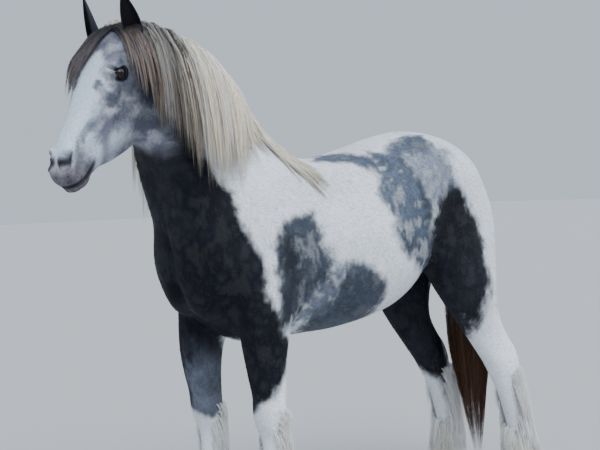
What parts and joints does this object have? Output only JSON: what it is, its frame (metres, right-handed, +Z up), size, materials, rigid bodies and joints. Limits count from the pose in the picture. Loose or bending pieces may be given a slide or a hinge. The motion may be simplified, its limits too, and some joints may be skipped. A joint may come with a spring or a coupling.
{
  "type": "heavy cob horse",
  "caption": "Life-size standing cob horse with parted head, neck, torso and legs, pricked ears, long mane, forelock, full tail and feathered lower legs over flat hooves",
  "frame": {"origin": "on the floor, under the middle of the model's box", "axes": "+X is the way the horse faces, +Y is its left side, +Z is up"},
  "size_m": [2.2019, 0.6295, 1.9765],
  "materials": {
    "coat": "short blue roan and white hair",
    "mane": "long cream and grey hair over a roan neck",
    "feather": "long white hair, stained a little yellow",
    "tail": "long dark red-brown hair",
    "ear": "short near-black hair",
    "eye": "wet and dark",
    "hoof": "worn horn"
  },
  "bodies": {
    "root": {"torso": "coat", "neck": "mane", "head": "coat", "ear_left": "ear", "ear_right": "ear", "eye_left": "eye", "eye_right": "eye", "tail": "tail", "fore_left_upper": "coat", "fore_left_lower": "feather", "fore_left_hoof": "hoof", "fore_right_upper": "coat", "fore_right_lower": "feather", "fore_right_hoof": "hoof", "hind_left_upper": "coat", "hind_left_lower": "feather", "hind_left_hoof": "hoof", "hind_right_upper": "coat", "hind_right_lower": "feather", "hind_right_hoof": "hoof"}
  },
  "joints": []
}
